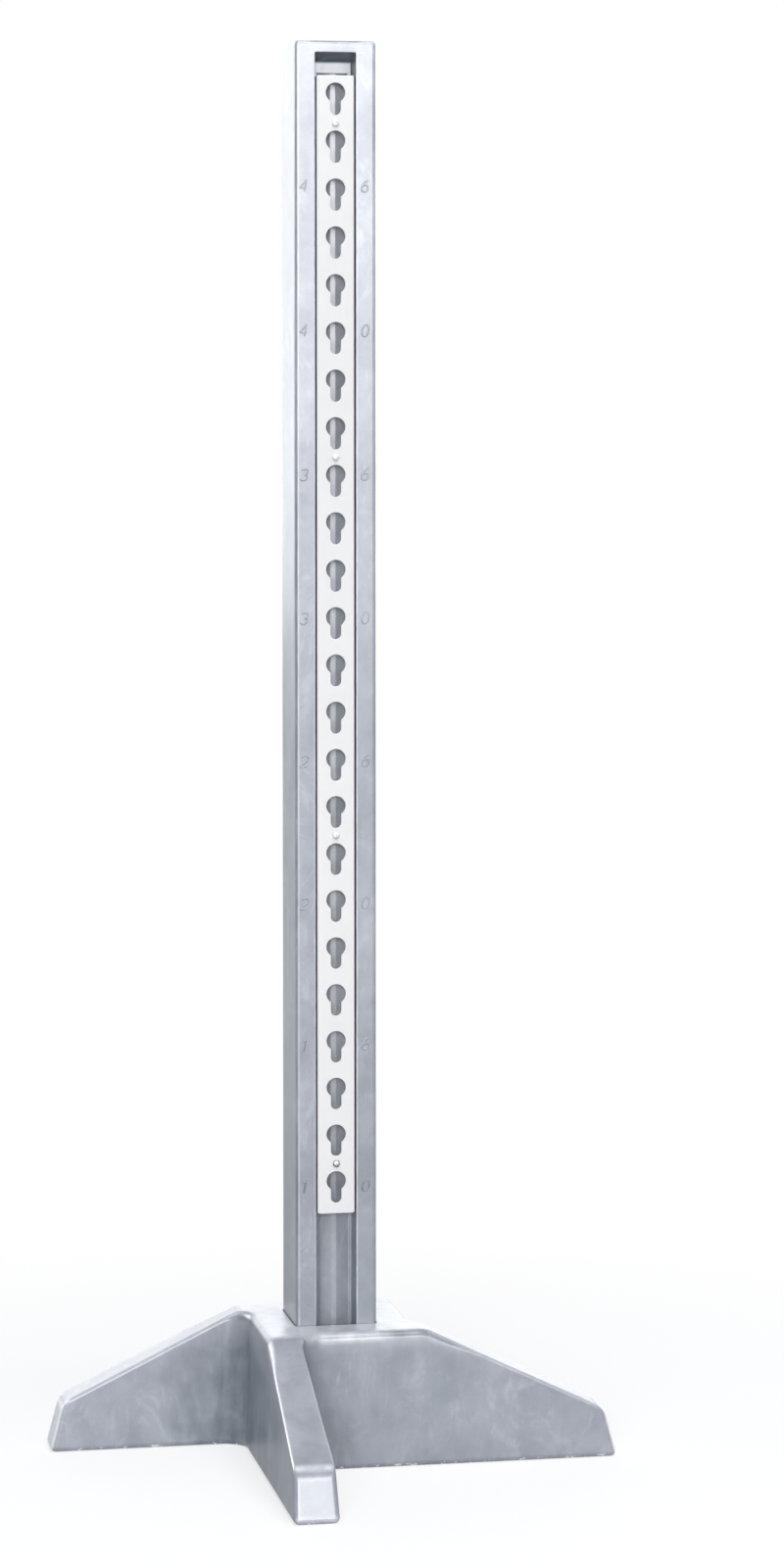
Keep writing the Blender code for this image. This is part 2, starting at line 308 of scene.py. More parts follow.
def makeGreyPlastic():
    look = greyLook
    material, tree, shader = newShader("Grey moulded polyethylene")
    place = objectPlace(tree)
    streaks = objectPlace(tree, look["streakTurn"], (1.0, 1.0, 0.22))
    smears = objectPlace(tree, look["smearTurn"], (1.0, 1.0, 0.55))
    clouds = noiseAt(tree, place, 1 / look["cloudSize"], 5, 0.6, 0.6)
    mottle = noiseAt(tree, place, 1 / look["mottleSize"], 3)
    wiped = noiseAt(tree, streaks, 0.35 / look["mottleSize"], 4, 0.6, 0.4)
    speckle = noiseAt(tree, place, 1 / look["speckleSize"], 2)
    blotches = noiseAt(tree, place, 1 / look["blotchSize"], 3, 0.5, 0.3)
    tone = blendOf(tree, [(clouds, 0.44), (mottle, 0.14), (blotches, 0.16), (wiped, 0.2), (speckle, 0.06)])
    colour = mixColour(tree, remap(tree, tone, 0.0, 1.0, 0.4, 0.6), look["dark"], look["light"])

    # Layers over it, from the oldest to the newest
    scuffs = remap(tree, noiseAt(tree, streaks, 2.2 / look["mottleSize"], 6, 0.7), 0.0, 0.5, 0.62, 0.8)
    wisps = remap(tree, noiseAt(tree, smears, 1 / look["smearSize"], 4, 0.58, 3.2), 0.0, 0.5, 0.5, 0.74)
    smeared = mathOf(tree, "MULTIPLY", wisps, remap(tree, clouds, 0.15, 1.0, 0.44, 0.6))
    # Dark layer: dirt in patches, and painted shade where the mesh marks corners, gaps and recesses
    dust = noiseAt(tree, streaks, 1 / look["smearSize"], 3, 0.6, 1.0)
    patches = remap(tree, blendOf(tree, [(dust, 0.45), (blotches, 0.55)]), 0.4, 1.5, 0.38, 0.62)
    dirtAndShade = mathOf(tree, "MULTIPLY", wearAt(tree, "grime"), patches)
    # Pale layer: painted highlight and painted light where the mesh marks them, with some wear, broken up by
    # noise
    paleMottle = remap(tree, noiseAt(tree, place, 0.5 / look["fleckSize"], 4, 0.65), 0.6, 1.15, 0.35, 0.65)
    rubbedAndPaintedLight = mathOf(tree, "MULTIPLY", wearAt(tree, "worn"), paleMottle, use_clamp=True)
    # Whitest flecks low on the base: torn nicks painted as glints
    flecks = remap(tree, noiseAt(tree, place, 1 / look["fleckSize"], 3, 0.7), 0.0, 1.0, 0.57, 0.62)
    torn = mathOf(tree, "MULTIPLY", flecks, wearAt(tree, "torn"))
    for factor, layer in (
            (scuffs, "scuff"), (smeared, "scuff"), (dirtAndShade, "shadedAndGrimy"), (rubbedAndPaintedLight, "worn"), (torn, "torn")):
        colour = mixColour(tree, factor, colour, look[layer])

    gloss = blendOf(tree, [(mottle, 0.4), (wiped, 0.6)])
    grain = noiseAt(tree, place, 1 / look["grainSize"], 2)
    waves = noiseAt(tree, place, 1 / look["waveSize"], 1)
    rough = bumpOf(tree, grain, look["grainHeight"], 0.6)
    setInputs(tree, shader, {
        "Base Color": colour, "Roughness": remap(tree, gloss, *look["roughness"]),
        "Specular IOR Level": look["gloss"],
        "Normal": bumpOf(tree, waves, look["waveHeight"], 0.5, Normal=rough)})
    return material


whiteLook = {
    "clean": (0.695, 0.699, 0.697),
    "grubby": (0.665, 0.667, 0.66),
    # The dark tone below serves painted shade in the gaps beside the track
    "shadedAndGrimy": (0.07, 0.075, 0.082),
    "gloss": 0.06,
    "roughness": (0.34, 0.5),
    "smudgeSize": 0.045,
    "drawnScale": 320.0,
    "lineScale": 700.0,
    "grainSize": 0.0011,
    "grainHeight": 0.00003,
}


def makeWhitePlastic():
    look = whiteLook
    material, tree, shader = newShader("White track plastic")
    place = objectPlace(tree)
    long = objectPlace(tree, (0, 0, 0), (1.0, 1.0, 0.08))
    smudge = noiseAt(tree, place, 1 / look["smudgeSize"], 6, 0.62, 0.3)
    drawn = noiseAt(tree, long, look["drawnScale"], 2)
    grubby = remap(tree, blendOf(tree, [(smudge, 0.75), (drawn, 0.25)]), 0.0, 0.8, 0.5, 0.72)
    colour = mixColour(tree, grubby, look["clean"], look["grubby"])
    colour = mixColour(tree, wearAt(tree, "grime"), colour, look["shadedAndGrimy"])
    grain = noiseAt(tree, place, 1 / look["grainSize"], 2)
    lines = noiseAt(tree, long, look["lineScale"], 1)
    setInputs(tree, shader, {
        "Base Color": colour, "Roughness": remap(tree, smudge, *look["roughness"]),
        "Specular IOR Level": look["gloss"],
        "Normal": bumpOf(tree, blendOf(tree, [(grain, 0.5), (lines, 0.5)]), look["grainHeight"], 0.5)})
    return material


zincLook = {
    "bright": (0.66, 0.66, 0.64),
    "dull": (0.42, 0.42, 0.41),
    # The dark tone below serves painted shade round the lowest head's rim
    "shadedAndGrimy": (0.13, 0.135, 0.14),
    "rubbedAndPaintedLight": (0.57, 0.57, 0.565),
    "roughness": (0.24, 0.42),
    "rubbedDulling": 0.3,
    "blotchSize": 0.0016,
    "grainScale": 5200.0,
    "grainHeight": 0.00001,
}


def makeZinc():
    look = zincLook
    material, tree, shader = newShader("Zinc plated steel")
    place = objectPlace(tree)
    blotch = noiseAt(tree, place, 1 / look["blotchSize"], 4, 0.6)
    colour = mixColour(tree, remap(tree, blotch, 0.0, 1.0), look["bright"], look["dull"])
    worn = wearAt(tree, "worn")
    colour = mixColour(tree, wearAt(tree, "grime"), colour, look["shadedAndGrimy"])
    colour = mixColour(tree, worn, colour, look["rubbedAndPaintedLight"])
    rough = mathOf(tree, "MULTIPLY_ADD", worn, look["rubbedDulling"], remap(tree, blotch, *look["roughness"]))
    grain = noiseAt(tree, place, look["grainScale"], 2)
    setInputs(tree, shader, {
        "Base Color": colour, "Roughness": rough, "Metallic": 1.0,
        "Normal": bumpOf(tree, grain, look["grainHeight"], 0.4)})
    return material


greyPlastic = makeGreyPlastic()
whitePlastic = makeWhitePlastic()
zincSteel = makeZinc()
print("finishes made")


# Base: one hollow moulding, a square hub with a leg flush with each of its sides

base = {
    "hubHalf": 0.0896,
    "legWidth": 0.0492,
    "reach": 0.302,
    "plateau": 0.147,
    "toeHeight": 0.0537,
    "slopeStart": 0.092,
    "slopeBend": 0.0065,
    "outerSlope": tan(radians(2.0)),
    "innerSlope": tan(radians(2.8)),
    "toeSlope": tan(radians(14.5)),
    "fillet": 0.0254,
    "toeCorner": 0.0065,
    "hubRound": 0.0075,
    "legRound": 0.0042,
    "toeRound": 0.009,
    "toeDrop": 0.009,
    "footRound": 0.006,
    "hubLean": 0.0026,
    "leanHeight": 0.018,
    "collarWidth": 0.006,
    "collarRise": 0.0006,
    "collarCrown": 0.0009,
    "collarFoot": 0.0035,
    "collarEdge": 0.0008,
    "socketFit": 0.0006,
    "socketRound": 0.005,
    "socketFloor": 0.012,
    "drainRadius": 0.006,
    "ventRadius": 0.004,
    "ventPlace": (0.24, -0.065),
    "ventDepth": 0.02,
    "sink": 0.0005,
    "sinkWaves": 11.0,
    "wallRows": 10,
    "roundRows": 8,
    "footRows": 6,
    "cell": 0.009,
    "lowDarkening": 0.1,
    # Painted shade in the corners where legs meet the hub and below the hub's top edge
    "cornerShade": 0.58,
    "cornerReach": 0.21,
    "otherCorners": 0.3,
    "hubEdgeShade": 0.65,
    "hubEdgeBand": (0.0008, 0.001, 0.006, 0.004),
    # Painted highlight on the legs' top edges, painted light on the toes and the front strip, and a paler hub
    # top
    "edgeHighlight": 0.4,
    "edgeBand": 0.0016,
    "toeLight": 1.2,
    "frontToeLight": 0.05,
    "frontFootLight": 0.4,
    "frontStripLight": 0.4,
    "topPaling": 0.33,
    # Height of the torn flecks and painted glints along the bottom
    "glintHeight": 0.0045,
}


def legTop(x, y):
    toeTop = base["reach"] - base["toeSlope"] * base["toeHeight"]
    slope = (base["plateau"] - base["toeHeight"]) / (toeTop - base["slopeStart"])
    past = max(abs(x), abs(y)) - base["slopeStart"]
    return base["plateau"] - slope * softRamp(past, base["slopeBend"])


def slopeBends():
    return [base["slopeStart"] + base["slopeBend"] * share for share in (-1, -0.5, 0, 0.5, 1)]


def legStations():
    # One leg's stations in plan, as the side it lies on and how far along it is
    along = [0.004, 0.022, 0.040, 0.058, 0.074, *slopeBends(), 0.108, 0.118]
    far = [0.13 + 0.012 * step for step in range(12)]
    stations = [("fillet", step / 14) for step in range(15)]
    stations += [("outer", x) for x in along + far]
    stations += [("outerToe", step / 6) for step in range(7)]
    stations += [("end", share) for share in (0.25, 0.5, 0.75)]
    stations += [("innerToe", step / 6) for step in range(7)]
    stations += [("inner", x) for x in reversed(far)]
    return stations


def toeShare(kind, share):
    # How far a station has turned on to a leg's end, or nothing along its sides
    return {"outerToe": share, "end": 1.0, "innerToe": 1 - share}.get(kind)


def stationPlace(kind, share, height, inset):
    outer = base["hubHalf"] - base["outerSlope"] * height - inset
    inner = base["hubHalf"] - base["legWidth"] + base["innerSlope"] * height + inset
    toe = base["reach"] - base["toeSlope"] * height - inset
    corner = max(base["toeCorner"] - inset * 0.5, 0.001)
    if kind == "outer":
        return share, -outer
    if kind == "inner":
        return share, -inner
    if kind == "end":
        near, far = -outer + corner, -inner - corner
        return toe, near + (far - near) * share
    if kind == "fillet":
        radius = base["fillet"] + inset
        angle = radians(180 - 90 * share)
        return -inner + radius * (1 + cos(angle)), -outer - radius * (1 - sin(angle))
    side, start = (-outer + corner, -90) if kind == "outerToe" else (-inner - corner, 0)
    angle = radians(start + 90 * share)
    return toe - corner + corner * cos(angle), side + corner * sin(angle)


def edgeShape(kind, share):
    # The top edge's round and the lean of the wall below it, for one station. The
    # hub's outer sides lean in below a full edge, and both fade out along the legs.
    full = 0.0
    if kind == "outer":
        full = 1 - smoothStep((share - base["slopeStart"] - 0.012) / 0.05)
    if kind == "fillet":
        full = share
    return base["legRound"] + (base["hubRound"] - base["legRound"]) * full, base["hubLean"] * full


def baseRing(bm, level, value):
    # Level is "foot" or "crown" with an angle, or "wall" with a share
    verts = []
    for turnX, turnY in ((1, 0), (0, 1), (-1, 0), (0, -1)):
        for kind, share in legStations():
            side, lean = edgeShape(kind, share)
            drop, atEnd = side, toeShare(kind, share)
            if atEnd is not None:
                drop += (base["toeDrop"] - side) * smoothStep(atEnd)
            inset, height = 0.0, base["footRound"]
            if level == "foot":
                inset = base["footRound"] * (1 - sin(value))
                height = base["footRound"] * (1 - cos(value))
            x, y = stationPlace(kind, share, height, inset)
            for again in range(0 if level == "foot" else 4):
                top = legTop(x, y)
                height = base["footRound"] + value * (top - drop - base["footRound"])
                if level == "crown":
                    height = top - drop * (1 - sin(value))
                inset = lean * max(0.0, 1 - (top - height) / base["leanHeight"]) ** 2
                if level == "crown":
                    inset += side * (1 - cos(value))
                x, y = stationPlace(kind, share, height, inset)
                if level == "crown" and atEnd is not None:
                    # The edge is rounded further in at a leg's end than along its sides
                    x -= (base["toeRound"] * (1 - cos(value)) - inset) * atEnd
            verts.append(bm.verts.new((x * turnX - y * turnY, x * turnY + y * turnX, height)))
    return verts


def squareRing(half, radius):
    corners = []
    for x, y in ((1, -1), (1, 1), (-1, 1), (-1, -1)):
        alongX, alongY = -(x + y) / 2, (x - y) / 2
        corners.append((x * half, y * half, radius))
        corners += [(x * half + alongX * half * step, y * half + alongY * half * step, None)
                    for step in (0.4, 0.8, 1.2, 1.6)]
    return roundPath(corners, 8)


def circleRing(radius, centre=(0.0, 0.0), steps=24):
    turns = [tau * step / steps for step in range(steps)]
    return [(centre[0] + radius * cos(turn), centre[1] + radius * sin(turn)) for turn in turns]


def baseWear(place):
    # Painted highlight along the legs' top edges, painted light on the toes' ends (on the front toe mostly at
    # its foot) and on the strip in front of the post, and a paler hub top
    x, y, z = place
    top = legTop(x, y)
    reach, across = max(abs(x), abs(y)), min(abs(x), abs(y))
    sideways = min(abs(across - base["hubHalf"]), abs(across - base["hubHalf"] + base["legWidth"]))
    wear = 0.0
    if reach > base["slopeStart"] and sideways < 0.011:
        wear = base["edgeHighlight"] * (1 - min(1.0, abs(top - z - base["edgeBand"]) / base["edgeBand"]))
    toeLight = base["toeLight"]
    if reach == -y:
        toeLight = base["frontToeLight"] + base["frontFootLight"] * (1 - smoothStep((z - 0.005) / 0.006))
    beyond = reach - base["reach"] + base["toeSlope"] * z
    wear = max(wear, toeLight * smoothStep((beyond + 0.003) / 0.002))
    front = smoothStep((-y - 0.043) / 0.008) * smoothStep((0.062 - abs(x)) / 0.02)
    front *= smoothStep((z - 0.136) / 0.006)
    if reach < base["slopeStart"] and top - z < 0.0012:
        wear = max(wear, base["topPaling"] * (1 - front))
    return max(wear, base["frontStripLight"] * front if y > -base["hubHalf"] - 0.002 else 0.0)


# Painted glints on torn flecks, only in the bottom few millimetres
def baseTorn(place):
    return 1 - smoothStep((place.z - base["glintHeight"] + 0.003) / 0.003)


def baseGrime(place):
    # A little darker everywhere, with painted shade in the four corners where a leg meets the hub, more of it
    # further below the top, and in a band just below the hub's top edge
    half = base["hubHalf"]
    inner = half - base["legWidth"]
    near = min(hypot(place.x - x, place.y - y)
               for x, y in ((-inner, -half), (half, -inner), (inner, half), (-half, inner)))
    below = legTop(place.x, place.y) - place.z
    share = 1.0 if place.x < -half + 0.004 else base["otherCorners"]
    corner = share * smoothStep((below - 0.004) / 0.03) * (1 - smoothStep(near / base["cornerReach"])) ** 1.5
    edge = between(below, *base["hubEdgeBand"])
    hub = 1 - smoothStep((max(abs(place.x), abs(place.y)) - base["slopeStart"]) / 0.004)
    return base["lowDarkening"] + base["cornerShade"] * corner + base["hubEdgeShade"] * edge * hub


def collarRings(bm, socketHalf):
    rise, width, foot = base["collarRise"], base["collarWidth"], base["collarFoot"]
    crown = base["collarCrown"] * 0.4
    profile = [(width + foot * (1 - step / 4), (rise - crown) * smoothStep(step / 4)) for step in range(5)]
    profile += [(width * (1 - step / 5), rise - crown * (1 - step / 4) ** 2) for step in range(1, 5)]
    profile += [(out, rise - down) for out, down in quarterRound(base["collarEdge"], 4)]
    rings = [addRing(bm, squareRing(socketHalf + out, base["socketRound"] + out), base["plateau"] + up)
             for out, up in profile]
    return rings + [addRing(bm, squareRing(socketHalf, base["socketRound"]), base["socketFloor"])]


def boreHole(bm, radius, depth, centre=(0.0, 0.0)):
    rings = [addRing(bm, circleRing(radius, centre), height) for height in (0.0, depth)]
    joinRings(bm, *rings)
    return rings


def buildBase():
    bm = bmesh.new()
    foot, wall, crown = base["footRows"], base["wallRows"], base["roundRows"]
    rings = [baseRing(bm, "foot", pi / 2 * row / foot) for row in range(foot)]
    rings += [baseRing(bm, "wall", 1 - (1 - row / wall) ** 1.4) for row in range(wall)]
    rings += [baseRing(bm, "crown", pi / 2 * row / crown) for row in range(crown + 1)]
    joinRings(bm, *rings)
    socketHalf = postHalf + base["socketFit"]
    collar = collarRings(bm, socketHalf)
    joinRings(bm, *collar)

    # The top is filled flat, cut into cells, and then let down along the legs
    for vert in rings[-1]:
        vert.co.z = base["plateau"]
    faces = fillBetween(bm, (rings[-1], collar[0]), (0, 0, 1))
    first, last = int(baseLow.x / base["cell"]), int(baseHigh.x / base["cell"])
    cuts = [base["cell"] * step for step in range(first, last + 1)]
    cuts += slopeBends() + [-bend for bend in slopeBends()]
    for axis in (Vector((1, 0, 0)), Vector((0, 1, 0))):
        for cut in cuts:
            edges = {edge for face in faces for edge in face.edges}
            verts = {vert for face in faces for vert in face.verts}
            made = bmesh.ops.bisect_plane(
                bm, geom=[*verts, *edges, *faces], dist=0.00005, plane_co=axis * cut, plane_no=axis)
            faces = onlyFaces(made["geom"])
    for vert in {vert for face in faces for vert in face.verts}:
        vert.co.z = legTop(vert.co.x, vert.co.y)

    # Underside, with the drain below the socket and the vent in one leg
    drain, drainTop = boreHole(bm, base["drainRadius"], base["socketFloor"])
    vent, ventTop = boreHole(bm, base["ventRadius"], base["ventDepth"], base["ventPlace"])
    bm.faces.new(ventTop)
    fillBetween(bm, (rings[0], drain, vent), (0, 0, -1))
    fillBetween(bm, (collar[-1], drainTop), (0, 0, 1))
    weld(bm)
    inSocket = socketHalf + base["collarWidth"] + base["collarFoot"] + 0.0001
    sinkFaces(bm, base["sink"], base["sinkWaves"], lambda place: (
        place.z < 0.001 or max(abs(place.x), abs(place.y)) < inSocket))
    item = objectFrom(bm, "base_shell", greyPlastic)
    return addWear(shadeSoft(item), grime=baseGrime, worn=baseWear, torn=baseTorn)


baseShell = buildBase()
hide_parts("base")
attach(baseShell, "base")
print("base made,", len(baseShell.data.polygons), "faces")


# Post: one hollow moulding, a square column with a channel down its front

post = {
    "round": 0.005,
    "channelWidth": 0.0437,
    "channelDepth": 0.0236,
    "channelSlope": tan(radians(2.0)),
    "channelTop": 1.5155,
    "ceilingRake": radians(19.5),
    "lipRound": 0.0018,
    "floorRound": 0.0016,
    "seatWidth": 0.0042,
    "ribCrown": 0.0054,
    "ribDepth": 0.017,
    "ribRound": 0.0022,
    "ribEnd": 0.0016,
    "ribAboveTrack": 0.0042,
    "wall": 0.006,
    "hollowTop": 1.48,
    "sink": 0.0003,
    "sinkWaves": 9.0,
    "topSink": 0.0005,
    "ringGap": 0.018,
    # Darkening low down and at mid height, painted shade on the sides and in the channel, and a painted dark
    # reflection
    "lowDarkening": 0.1,
    "lowDarkeningFade": (0.15, 0.6),
    "middleDarkening": 0.2,
    "middleBand": (0.45, 0.2, 0.95, 0.2),
    "sideShade": 0.26,
    "sideShadeFade": (0.9, 0.25),
    "edgeDarkReflection": 0.45,
    "gapShade": 0.6,
    "deepShade": 0.85,
    "ceilingShade": 1.15,
    # Painted highlight on the lips and the left front edge, and painted light on the rib
    "lipHighlight": 0.6,
    "edgeHighlight": 0.42,
    "ribLight": 0.12,
    "rightFlankLight": 0.12,
    "behindLight": 0.12,
}
channelHalf = post["channelWidth"] / 2
ribTop = trackHigh.z + post["ribAboveTrack"]
ceilingRise = 1 / tan(post["ceilingRake"])
ceilingStart = post["channelTop"] - post["channelDepth"] / ceilingRise


def channelDepth(height):
    below = softRamp(post["channelTop"] - height, 0.0007), softRamp(ceilingStart - height, 0.0005)
    return ceilingRise * (below[0] - below[1])


def postSection(height, inset=0.0, wall=0.0):
    half = postHalf - inset - wall
    front = -half
    depth = channelDepth(height)
    ribKeep = 1 - smoothStep((height - ribTop + post["ribEnd"]) / post["ribEnd"])
    ribStep = (post["channelDepth"] - post["ribDepth"]) * ribKeep
    floor = max(-postHalf + depth + wall, front)
    crown = max(floor - ribStep, front)
    mouth = channelHalf + wall
    foot = mouth - post["channelSlope"] * (floor - front)
    seat = channelHalf - post["channelSlope"] * depth - post["seatWidth"]
    rib = post["ribCrown"] / 2
    outer = max(post["round"] - inset - wall, 0.0004)
    shares = (0.15, 0.3, 0.5, 0.7, 0.85)
    side = [(mouth, front, post["lipRound"]), ((mouth + half) / 2, front, None), (half, front, outer)]
    side += [(half, front + 2 * half * share, None) for share in shares] + [(half, half, outer)]
    back = [(half - 2 * half * share, half, None) for share in shares]
    inside = [(rib, crown, post["ribRound"]), (seat, floor, post["ribRound"] / 2),
              (foot, floor, post["floorRound"])]
    flipped = [[(-x, y, radius) for x, y, radius in reversed(part)] for part in (side, inside)]
    corners = [*side, *back, *flipped[0], *flipped[1], *inside]
    return roundPath(corners, 5)


def postGrime(place):
    # Darker towards the bottom and in a band at mid height; painted shade low on the sides, in the channel's
    # gaps beside the track and at its top end; a painted dark reflection just behind the left front edge
    low, high = post["lowDarkeningFade"]
    sideLow, sideRise = post["sideShadeFade"]
    deep, beside = place.y + postHalf, abs(place.x) - channelHalf
    grime = post["lowDarkening"] * (1 - smoothStep((place.z - low) / (high - low)))
    if deep < 0.001 or beside > 0.0005:
        grime += post["middleDarkening"] * between(place.z, *post["middleBand"])
    if abs(place.x) > postHalf - 0.0003 and 0.0045 < deep < 2 * postHalf - 0.0045:
        grime += post["sideShade"] * (1 - smoothStep((place.z - sideLow) / sideRise))
    if place.x < -postHalf + post["round"] * 0.8 and 0.0006 < deep < 0.0026:
        grime += post["edgeDarkReflection"]
    if beside < 0.0005 and 0.0012 < deep < post["channelDepth"] + 0.001:
        if place.z > post["channelTop"] - 0.0092:
            return post["ceilingShade"]
        if beside > -0.0018:
            inShade = place.z > (trackLow.z if place.x < 0 else trackHigh.z + 0.001)
            return post["deepShade"] if inShade else post["gapShade"]
    return grime


def postWear(place):
    # Painted highlight along the channel's lips and the left front edge, and painted light on the rib behind
    # the track, more of it above the track's lowest part
    deep, beside = place.y + postHalf, abs(place.x) - channelHalf
    if deep < 0.001 and -0.0003 < beside < post["lipRound"] * 0.8 and place.z < post["channelTop"]:
        return post["lipHighlight"]
    if place.x < -postHalf + post["round"] * 0.8 and deep < 0.0006:
        return post["edgeHighlight"]
    if beside < -0.0025 and 0.01 < deep < post["channelDepth"] + 0.001 and place.z < trackHigh.z:
        crown = post["ribCrown"] / 2 + 0.0006
        behind = post["behindLight"] * smoothStep((place.z - trackLow.z - 0.1) / 0.1)
        return behind + (0.0 if place.x < -crown else post["ribLight"] if place.x < crown else post["rightFlankLight"])
    return 0.0


def buildPost():
    bm = bmesh.new()
    bottom, top, soft = postLow.z, postHigh.z, post["round"]
    shaft, ceiling = ribTop - 0.004 - bottom, ceilingStart - 0.0005
    count = round(shaft / post["ringGap"])
    heights = [bottom + shaft * step / count for step in range(count + 1)]
    heights += [ribTop - post["ribEnd"] + post["ribEnd"] * step / 6 for step in range(7)]
    heights += [ribTop + 0.004, ceiling - 0.002]
    heights += [ceiling + (post["channelTop"] + 0.0008 - ceiling) * step / 20 for step in range(21)]
    heights += [top - soft - 0.0015]
    rings = [addRing(bm, postSection(height), height) for height in heights]
    rings += [addRing(bm, postSection(top - down, inset), top - down) for down, inset in quarterRound(soft, 8)]
    edge = rings[-1]
    for share in (0.85, 0.6, 0.35, 0.12):
        ring = [(vert.co.x * share, vert.co.y * share) for vert in edge]
        rings.append(addRing(bm, ring, top - post["topSink"] * (1 - share ** 2)))
    joinRings(bm, *rings)
    bm.faces.new(rings[-1])
    weld(bm)
    sinkFaces(bm, post["sink"], post["sinkWaves"])

    inside = [addRing(bm, postSection(height, 0.0, post["wall"]), height)
              for height in (bottom, post["hollowTop"] / 2, post["hollowTop"])]
    joinRings(bm, rings[0], *inside)
    bm.faces.new(inside[-1])
    item = objectFrom(bm, "post_shell", greyPlastic)
    return addWear(shadeSoft(item), grime=postGrime, worn=postWear)


postShell = buildPost()
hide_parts("post")
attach(postShell, "upright")
print("post made,", len(postShell.data.polygons), "faces")


# Track: one bay with a keyhole, repeated up the post by a node tree, and two ends

track = {
    "pitch": 0.0508,
    "count": 24,
    "firstHole": 0.3044,
    "holeRadius": 0.0105,
    "slotRadius": 0.0057,
    "slotDrop": 0.0181,
    "wall": 0.0032,
    "edgeRound": 0.0026,
    "innerRound": 0.0013,
    "rimRound": 0.0005,
    "legRound": 0.0004,
    "endRound": 0.0019,
    "weldGap": 0.00002,
    # Painted shade in the gaps beside the track, and greying towards the top
    "sideShade": 1.0,
    "upperGreying": 0.14,
    "upperFrom": 0.55,
    "upperRise": 0.8,
}


def keyholeRing(grow):
    hole, slot, drop = track["holeRadius"] + grow, track["slotRadius"] + grow, track["slotDrop"]
    shoulder = asin(slot / hole)
    turns = [shoulder - pi / 2 + 2 * (pi - shoulder) * step / 44 for step in range(45)]
    points = [(hole * cos(turn), hole * sin(turn)) for turn in turns]
    waist = (points[-1][1] - drop) / 2
    turns = [pi * (1 + step / 20) for step in range(21)]
    slotEnd = [(slot * cos(turn), slot * sin(turn) - drop) for turn in turns]
    return [*points, (-slot, waist), *slotEnd, (slot, waist)]


def trackProfile(inset=0.0, dip=0.0):
    # Right half in plan, from the web's front round the side to the web's back
    front, back, small = trackLow.y + dip, trackHigh.y, track["legRound"]
    side, inside = trackHigh.x - inset, trackHigh.x - track["wall"]
    web = trackLow.y + track["wall"] - dip
    points = [(side - across, front + behind) for across, behind in quarterRound(track["edgeRound"], 6)]
    points += [(side, back - small), (side - small * 0.3, back - small * 0.3), (side - small, back)]
    points += [(inside + small, back), (inside + small * 0.3, back - small * 0.3), (inside, back - small)]
    return points + [(inside - across, web + behind) for behind, across in quarterRound(track["innerRound"], 4)]


def buildBay(below, above):
    bm = bmesh.new()
    profile = trackProfile()
    for side in (1, -1):
        low, high = [[bm.verts.new((x * side, y, z)) for x, y in profile] for z in (-below, above)]
        for index in range(len(profile) - 1):
            bm.faces.new((low[index], low[index + 1], high[index + 1], high[index]))
    front, rim = trackLow.y, track["rimRound"]
    back = front + track["wall"]
    rings = [(grow, front + down) for grow, down in quarterRound(rim, 4)]
    rings += [(0.0, back - rim / 2), (rim / 2, back)]
    loops = [[bm.verts.new((x, depth, z)) for x, z in keyholeRing(grow)] for grow, depth in rings]
    joinRings(bm, *loops)
    for loop, (wide, depth), toward in ((loops[0], profile[0], -1), (loops[-1], profile[-1], 1)):
        corners = (-wide, -below), (wide, -below), (wide, above), (-wide, above)
        fillBetween(bm, (loop, [bm.verts.new((x, depth, z)) for x, z in corners]), (0, toward, 0))
    bmesh.ops.remove_doubles(bm, verts=bm.verts, dist=0.000005)
    return bm


def buildEnds(lowest, highest, length):
    bm = bmesh.new()
    soft = track["endRound"]
    for border, way in ((lowest, -1), (highest, 1)):
        rings = []
        for share in [step / 8 for step in range(9)]:
            gone = soft - sqrt(max(soft ** 2 - (soft * share) ** 2, 0.0))
            profile = trackProfile(gone, min(gone, 0.0006))
            outline = profile + [(-x, y) for x, y in reversed(profile)]
            rings.append(addRing(bm, outline, border + way * length * share))
        joinRings(bm, *rings)
        bmesh.ops.triangulate(bm, faces=[bm.faces.new(rings[-1])])
    return bm


def growTree(item, name, build, values):
    # Runs a new node tree on an object, with an input for each of the named values
    tree = bpy.data.node_groups.new(name, "GeometryNodeTree")
    tree.interface.new_socket("Geometry", in_out="INPUT", socket_type="NodeSocketGeometry")
    places = {}
    for label, value in values.items():
        kind = "Vector" if isinstance(value, tuple) else type(value).__name__.title()
        socket = tree.interface.new_socket(label, in_out="INPUT", socket_type=f"NodeSocket{kind}")
        places[socket.identifier] = value
    tree.interface.new_socket("Geometry", in_out="OUTPUT", socket_type="NodeSocketGeometry")
    given, result = addNode(tree, "NodeGroupInput").outputs, addNode(tree, "NodeGroupOutput")
    painted = {"Geometry": build(tree, given), "Material": given["Finish"]}
    setInputs(tree, result, {"Geometry": outOf(tree, "GeometryNodeSetMaterial", painted)})
    step = item.modifiers.new(name, "NODES")
    step.node_group = tree
    for identifier, value in places.items():
        step[identifier] = value


def makeRow(tree, given):
    line = outOf(tree, "GeometryNodeMeshLine", {
        "Count": given["Count"], "Start Location": vectorOf(tree, Z=given["First hole"]),
        "Offset": vectorOf(tree, Z=given["Pitch"])})
    bay = addNode(tree, "GeometryNodeObjectInfo", {"Object": given["Bay"]}).outputs["Geometry"]
    row = outOf(tree, "GeometryNodeInstanceOnPoints", {"Points": line, "Instance": bay})
    both = addNode(tree, "GeometryNodeJoinGeometry")
    tree.links.new(row, both.inputs[0])
    tree.links.new(given["Geometry"], both.inputs[0])
    whole = outOf(tree, "GeometryNodeRealizeInstances", {"Geometry": both.outputs[0]})
    return outOf(tree, "GeometryNodeMergeByDistance", {"Geometry": whole, "Distance": given["Weld"]})


